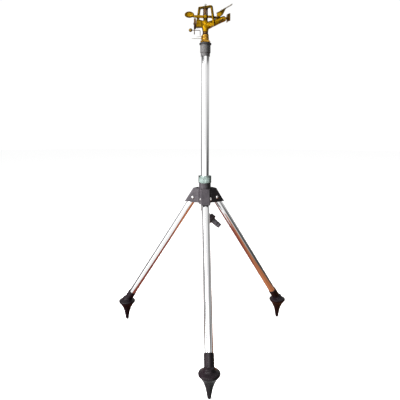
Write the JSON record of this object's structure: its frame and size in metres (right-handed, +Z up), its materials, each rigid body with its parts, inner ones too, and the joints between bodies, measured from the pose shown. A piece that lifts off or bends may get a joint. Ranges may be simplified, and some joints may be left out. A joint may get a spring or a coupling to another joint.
{
  "type": "impact sprinkler on tripod",
  "caption": "Brass part-circle impact sprinkler head on a sliding chrome riser pipe, with a ribbed clamp collar and a tripod of folding tubular legs on spiked feet.",
  "frame": {"origin": "centre of the footprint's box, at the tips of the ground spikes", "axes": "+Z up along the riser pipe, -Y towards the front leg, +X the way the nozzle points at rest"},
  "size_m": [0.541, 0.4746, 0.958],
  "materials": {
    "brass": "polished cast",
    "brass_dark": "dull",
    "bronze_dark": "dark stained",
    "chrome_tube": "bright plated",
    "zinc": "zinc plated, ribbed",
    "steel": "bright",
    "spring_steel": "dark",
    "black_steel": "semi-gloss black",
    "black_plastic": "gloss",
    "nylon": "natural",
    "rubber": "matt"
  },
  "bodies": {
    "stand": {"hub_tube": "black_steel", "bracket_front": "black_steel", "bracket_left": "black_steel", "bracket_right": "black_steel", "pivot_bolt_front": "steel", "pivot_bolt_left": "steel", "pivot_bolt_right": "steel", "pivot_nut_front": "steel", "pivot_nut_left": "steel", "pivot_nut_right": "steel"},
    "collar": {"lock_collar": "zinc"},
    "collet": {"clamp_collet": "nylon"},
    "leg_front": {"leg_tube_front": "chrome_tube", "leg_eye_front": "black_plastic", "foot_front": "black_plastic"},
    "leg_left": {"leg_tube_left": "chrome_tube", "leg_eye_left": "black_plastic", "foot_left": "black_plastic"},
    "leg_right": {"leg_tube_right": "chrome_tube", "leg_eye_right": "black_plastic", "foot_right": "black_plastic"},
    "riser": {"riser_tube": "chrome_tube", "riser_adapter": "black_plastic", "inlet_elbow": "black_plastic", "hose_nipple": "black_plastic", "nipple_oring": "rubber", "adapter_seal": "rubber", "bearing_nipple": "brass"},
    "stop_lower": {"trip_collar_lower": "brass", "trip_wire_lower": "steel"},
    "stop_upper": {"trip_collar_upper": "brass", "trip_wire_upper": "steel"},
    "head": {"bearing_sleeve": "brass", "bearing_seal": "rubber", "thrust_washer": "nylon", "bearing_spring": "spring_steel", "head_casting": "brass", "nozzle": "brass", "diffuser_screw": "bronze_dark", "spreader_plug": "bronze_dark", "fulcrum_pin": "steel", "arm_washer": "nylon", "arm_spring": "spring_steel", "spring_seat": "bronze_dark", "trip_pivot_pin": "steel", "deflector_pin": "bronze_dark"},
    "arm": {"swing_arm": "brass", "arm_bushing": "nylon"},
    "trip": {"trip_lever": "bronze_dark", "trip_wire": "bronze_dark", "trip_knob": "brass_dark"},
    "deflector": {"deflector_bracket": "brass", "deflector_plate": "steel", "deflector_rivet": "steel"}
  },
  "joints": [
    {"name": "collar_turn", "type": "hinge", "parent": "stand", "child": "collar", "pos_m": [0, 0.071, 0.47], "axis": [0, 0, 1], "range_deg": [0, 90]},
    {"name": "riser_turn", "type": "hinge", "parent": "stand", "child": "collet", "pos_m": [0, 0.071, 0.44], "axis": [0, 0, 1], "continuous": true},
    {"name": "riser_slide", "type": "slide", "parent": "collet", "child": "riser", "axis": [0, 0, 1], "range_m": [-0.25, 0]},
    {"name": "head_turn", "type": "hinge", "parent": "riser", "child": "head", "pos_m": [0, 0.071, 0.8706], "axis": [0, 0, 1], "continuous": true},
    {"name": "arm_swing", "type": "hinge", "parent": "head", "child": "arm", "pos_m": [0, 0.071, 0.9223], "axis": [0, 0, 1], "range_deg": [0, 110], "stiffness_Nm_per_rad": 0.02, "springref_deg": -34.38},
    {"name": "trip_flip", "type": "hinge", "parent": "head", "child": "trip", "pos_m": [-0.029, 0.071, 0.9036], "axis": [1, 0, 0], "range_deg": [-12, 12]},
    {"name": "deflector_tilt", "type": "hinge", "parent": "head", "child": "deflector", "pos_m": [0.0342, 0.071, 0.9219], "axis": [0, 1, 0], "range_deg": [-25, 12]},
    {"name": "stop_lower_turn", "type": "hinge", "parent": "riser", "child": "stop_lower", "pos_m": [0, 0.071, 0.8616], "axis": [0, 0, 1], "continuous": true},
    {"name": "stop_upper_turn", "type": "hinge", "parent": "riser", "child": "stop_upper", "pos_m": [0, 0.071, 0.8696], "axis": [0, 0, 1], "continuous": true},
    {"name": "leg_front_fold", "type": "hinge", "parent": "stand", "child": "leg_front", "pos_m": [0, 0.0384, 0.4196], "axis": [1, 0, 0], "range_deg": [0, 15.5]},
    {"name": "leg_left_fold", "type": "hinge", "parent": "stand", "child": "leg_left", "pos_m": [-0.02823, 0.0873, 0.4196], "axis": [-0.5, -0.866, 0], "range_deg": [0, 15.5]},
    {"name": "leg_right_fold", "type": "hinge", "parent": "stand", "child": "leg_right", "pos_m": [0.02823, 0.0873, 0.4196], "axis": [-0.5, 0.866, 0], "range_deg": [0, 15.5]}
  ]
}
